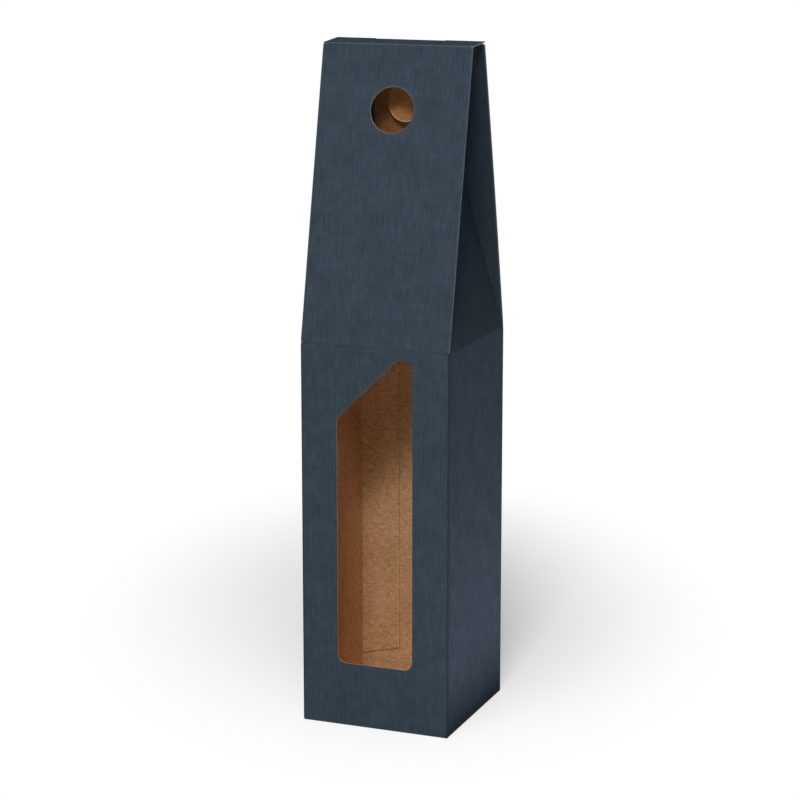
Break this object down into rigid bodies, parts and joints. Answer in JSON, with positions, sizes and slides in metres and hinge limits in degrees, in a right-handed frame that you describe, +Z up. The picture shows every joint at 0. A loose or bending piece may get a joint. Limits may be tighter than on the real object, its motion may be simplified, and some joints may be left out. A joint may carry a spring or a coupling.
{
  "type": "bottle gift box",
  "caption": "Tall square gift box for one bottle, folded from board, with a slant-topped window, folded side gussets, a ridge with a tuck flap, and a finger hole.",
  "frame": {"origin": "centre of the base, on the surface that the box stands on", "axes": "+Z up along the box, -Y out of the front with the window, +X to the right seen from the front"},
  "size_m": [0.09, 0.09, 0.3914],
  "materials": {
    "navy_board": "matt navy, finely embossed, over kraft board",
    "kraft_face": "bare brown kraft, matt",
    "glue": "dried pale glue"
  },
  "bodies": {
    "body": {"front_panel": "navy_board", "back_panel": "navy_board", "left_side_panel": "navy_board", "right_side_panel": "navy_board", "body_glue_flap": "kraft_face", "body_glue_line": "glue"},
    "front_slope": {"front_slope_panel": "navy_board"},
    "back_slope": {"back_slope_panel": "navy_board", "upper_glue_flap": "kraft_face", "upper_glue_line": "glue"},
    "right_gusset": {"right_gusset_panel": "navy_board"},
    "left_gusset": {"left_gusset_panel": "navy_board"},
    "right_front_wing": {"right_front_wing": "navy_board"},
    "left_front_wing": {"left_front_wing": "navy_board"},
    "right_rear_wing": {"right_rear_wing": "navy_board"},
    "left_rear_wing": {"left_rear_wing": "navy_board"},
    "ridge": {"ridge_strip": "navy_board"},
    "tuck_flap": {"ridge_tuck_flap": "kraft_face"},
    "finger_flap": {"finger_flap": "kraft_face"},
    "bottom": {"bottom_panel": "navy_board"},
    "tongue": {"bottom_tongue": "kraft_face"},
    "right_dust_flap": {"right_dust_flap": "kraft_face"},
    "left_dust_flap": {"left_dust_flap": "kraft_face"}
  },
  "joints": [
    {"name": "front_slope_fold", "type": "hinge", "parent": "body", "child": "front_slope", "pos_m": [0, -0.0447, 0.224], "axis": [1, 0, 0], "range_deg": [0, 11.93]},
    {"name": "back_slope_fold", "type": "hinge", "parent": "body", "child": "back_slope", "pos_m": [0, 0.0447, 0.224], "axis": [-1, 0, 0], "range_deg": [0, 11.93]},
    {"name": "right_gusset_fold", "type": "hinge", "parent": "body", "child": "right_gusset", "pos_m": [0.0447, 0, 0.224], "axis": [0, 1, 0], "range_deg": [0, 11.93]},
    {"name": "left_gusset_fold", "type": "hinge", "parent": "body", "child": "left_gusset", "pos_m": [-0.0447, 0, 0.224], "axis": [0, -1, 0], "range_deg": [0, 11.93]},
    {"name": "right_front_wing_fold", "type": "hinge", "parent": "front_slope", "child": "right_front_wing", "pos_m": [0.04425, -0.02773, 0.30218], "axis": [0, -0.2067, -0.9784], "range_deg": [0, 90]},
    {"name": "left_front_wing_fold", "type": "hinge", "parent": "front_slope", "child": "left_front_wing", "pos_m": [-0.04425, -0.02773, 0.30218], "axis": [0, 0.2067, 0.9784], "range_deg": [0, 90]},
    {"name": "right_rear_wing_fold", "type": "hinge", "parent": "back_slope", "child": "right_rear_wing", "pos_m": [0.04425, 0.02773, 0.30218], "axis": [0, -0.2067, 0.9784], "range_deg": [0, 90]},
    {"name": "left_rear_wing_fold", "type": "hinge", "parent": "back_slope", "child": "left_rear_wing", "pos_m": [-0.04425, 0.02704, 0.30203], "axis": [0, 0.2067, -0.9784], "range_deg": [0, 90]},
    {"name": "ridge_lift", "type": "hinge", "parent": "front_slope", "child": "ridge", "pos_m": [0, -0.0097, 0.3897], "axis": [1, 0, 0], "range_deg": [0, 55]},
    {"name": "tuck_flap_fold", "type": "hinge", "parent": "ridge", "child": "tuck_flap", "pos_m": [0, 0.00847, 0.39097], "axis": [1, 0, 0], "range_deg": [-44, 0]},
    {"name": "finger_flap_swing", "type": "hinge", "parent": "tuck_flap", "child": "finger_flap", "pos_m": [0, 0.00847, 0.36577], "axis": [-1, 0, 0], "range_deg": [-26, 22]},
    {"name": "bottom_swing", "type": "hinge", "parent": "body", "child": "bottom", "pos_m": [0, -0.0447, 0.0003], "axis": [-1, 0, 0], "range_deg": [0, 90]},
    {"name": "tongue_bend", "type": "hinge", "parent": "bottom", "child": "tongue", "pos_m": [0, 0.0437, 0.0003], "axis": [1, 0, 0], "range_deg": [0, 10]},
    {"name": "right_dust_flap_swing", "type": "hinge", "parent": "body", "child": "right_dust_flap", "pos_m": [0.0447, 0, 0.0012], "axis": [0, 1, 0], "range_deg": [0, 50]},
    {"name": "left_dust_flap_swing", "type": "hinge", "parent": "body", "child": "left_dust_flap", "pos_m": [-0.0447, 0, 0.0012], "axis": [0, -1, 0], "range_deg": [0, 50]}
  ],
  "couplings": [
    {"joint": "back_slope_fold", "follows": "front_slope_fold", "ratio": 1},
    {"joint": "right_gusset_fold", "follows": "front_slope_fold", "ratio": 1},
    {"joint": "left_gusset_fold", "follows": "front_slope_fold", "ratio": 1},
    {"joint": "right_front_wing_fold", "follows": "front_slope_fold", "ratio": 7.25},
    {"joint": "left_front_wing_fold", "follows": "front_slope_fold", "ratio": 7.25},
    {"joint": "right_rear_wing_fold", "follows": "front_slope_fold", "ratio": 7.25},
    {"joint": "left_rear_wing_fold", "follows": "front_slope_fold", "ratio": 7.25},
    {"joint": "tuck_flap_fold", "follows": "ridge_lift", "ratio": -0.8}
  ]
}
